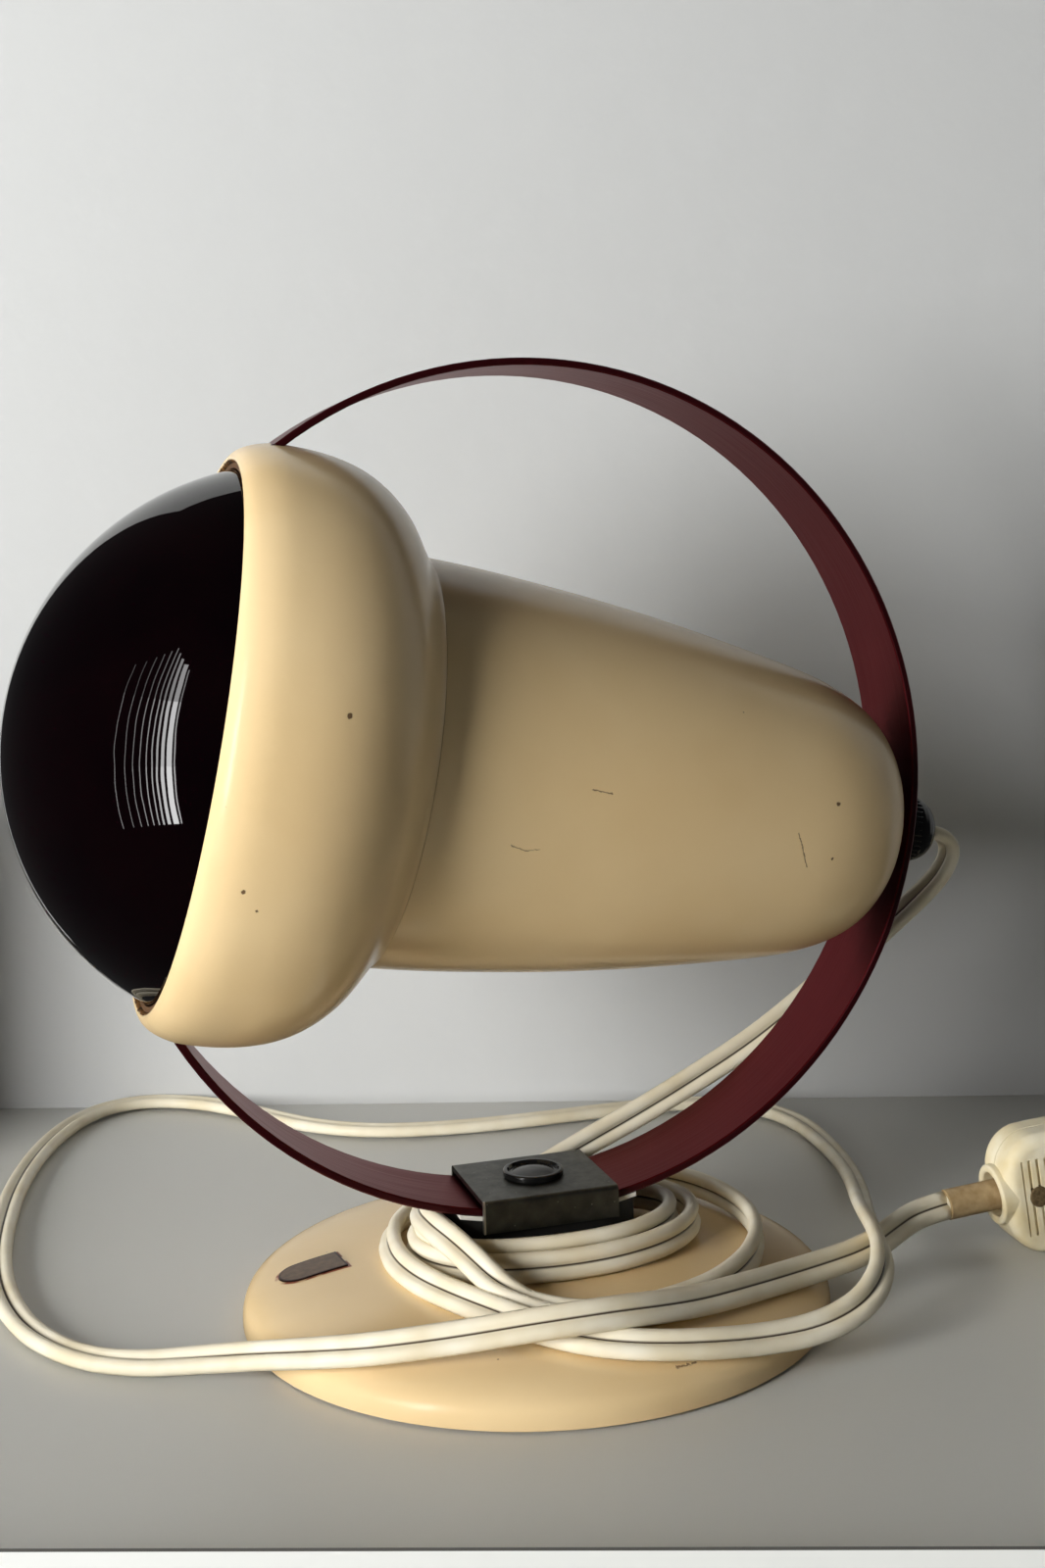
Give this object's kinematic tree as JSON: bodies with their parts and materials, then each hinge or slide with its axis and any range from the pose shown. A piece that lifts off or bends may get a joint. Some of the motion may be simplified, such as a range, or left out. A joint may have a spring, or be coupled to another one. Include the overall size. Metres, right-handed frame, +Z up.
{
  "type": "infrared heat lamp",
  "caption": "Table heat lamp: a ruby reflector bulb in a bell-shaped painted head, tilted by a flat ring that slides through a saddle on a round weighted base, with a flat flex and plug.",
  "frame": {"origin": "centre of the base's underside, on the surface the lamp stands on", "axes": "+Z up; the head points towards -X and +Y is the ring's axle line, so a turn about +Y raises the head's front"},
  "size_m": [0.3032, 0.2724, 0.2295],
  "materials": {
    "cream_paint": "gloss",
    "cast_iron": "rough",
    "grey_moulding": "matt",
    "cover_board": "matt",
    "black_rubber": "matt",
    "dark_plate": "satin",
    "black_bakelite": "gloss",
    "brass": "satin",
    "steel": "satin",
    "saddle_steel": "satin",
    "nylon": "matt",
    "red_anodised": "satin",
    "seal_fibre": "matt",
    "ruby_glass": "gloss",
    "silvered_glass": "gloss",
    "clear_glass": "gloss",
    "cap_metal": "satin",
    "porcelain": "gloss",
    "cream_flex": "satin",
    "ivory_plug": "satin",
    "tan_sleeve": "matt",
    "nickel_pins": "polished",
    "brown_screw": "matt"
  },
  "bodies": {
    "stand": {"base_shell": "cream_paint", "base_weight": "cast_iron", "weight_spacer": "grey_moulding", "base_cover": "cover_board", "cover_screws": "steel", "base_pad": "black_rubber", "badge_plate": "dark_plate", "pedestal": "black_bakelite", "pedestal_inserts": "brass", "pedestal_screws": "steel", "pedestal_washers": "steel", "slide_shoe": "nylon", "saddle": "saddle_steel", "press_block": "nylon", "press_spring": "steel", "saddle_button": "black_bakelite", "cord_drop": "cream_flex", "cord_coil": "cream_flex", "cord_lead": "cream_flex", "plug_front_half": "ivory_plug", "plug_rear_half": "ivory_plug", "plug_collar": "ivory_plug", "strain_sleeve": "tan_sleeve", "plug_lead": "cream_flex", "plug_pins": "nickel_pins", "plug_screw": "brown_screw"},
    "head": {"ring_band": "red_anodised", "ring_end_blocks": "red_anodised", "bell_shell": "cream_paint", "cone_shell": "cream_paint", "bulb_seal": "seal_fibre", "bulb_front": "ruby_glass", "bulb_bowl": "silvered_glass", "bulb_cap": "cap_metal", "bulb_insulator": "black_bakelite", "bulb_contact": "brass", "bulb_stem": "clear_glass", "filament_leads": "steel", "filament": "steel", "holder_body": "porcelain", "holder_sleeve": "brass", "holder_tongue": "brass", "nipple": "steel", "holder_nut": "steel", "tail_nut": "steel", "tail_washer": "steel", "tail_spacer": "brass", "rear_knob": "black_bakelite", "inner_lead": "cream_flex"}
  },
  "joints": [
    {"name": "tilt", "type": "hinge", "parent": "stand", "child": "head", "pos_m": [0, 0, 0.127], "axis": [0, 1, 0], "range_deg": [-42, 50], "deforming": ["cord_drop"]}
  ]
}
